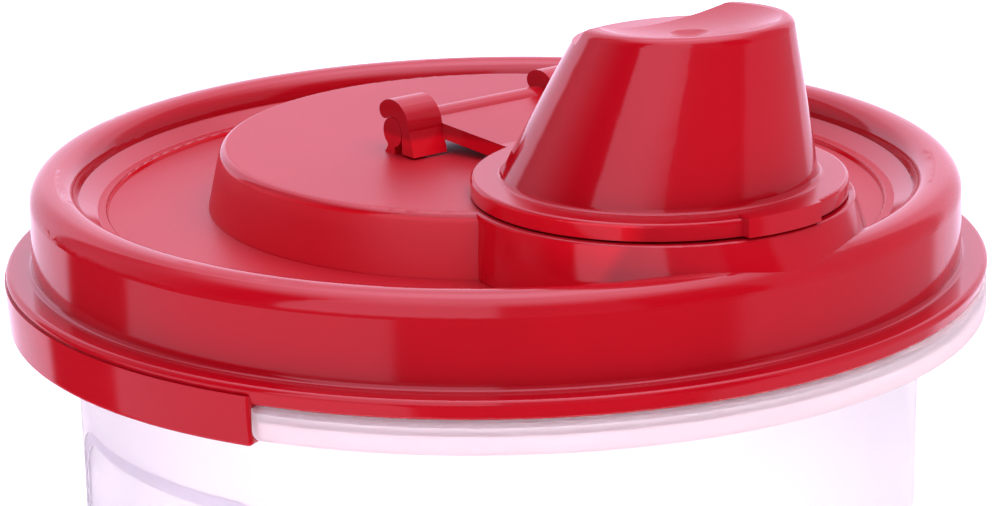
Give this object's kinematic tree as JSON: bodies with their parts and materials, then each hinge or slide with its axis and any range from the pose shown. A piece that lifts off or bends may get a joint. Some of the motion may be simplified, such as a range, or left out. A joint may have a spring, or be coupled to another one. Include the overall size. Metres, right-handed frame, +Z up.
{
  "type": "flip-cap pouring canister",
  "caption": "Round frosted plastic storage canister with a press-on lid and a hinged cone-shaped flip cap over a pour nozzle.",
  "frame": {"origin": "centre of the canister's standing ring, on the surface it stands on", "axes": "+Z up the canister's axis, -Y towards the pour spout, X along the flip cap's hinge"},
  "size_m": [0.131, 0.1308, 0.1917],
  "materials": {
    "frosted_plastic": "translucent, lightly frosted polypropylene",
    "red_plastic": "glossy moulded, with fine matte texture on the flat faces"
  },
  "bodies": {
    "canister": {"canister": "frosted_plastic"},
    "lid": {"lid": "red_plastic"},
    "flip_cap": {"flip_cap": "red_plastic"}
  },
  "joints": [
    {"name": "lid_lift", "type": "slide", "parent": "canister", "child": "lid", "axis": [0, 0, 1], "range_m": [0, 0.035]},
    {"name": "cap_hinge", "type": "hinge", "parent": "lid", "child": "flip_cap", "pos_m": [0, 0.0024, 0.1706], "axis": [-1, 0, 0], "range_deg": [0, 90]}
  ]
}
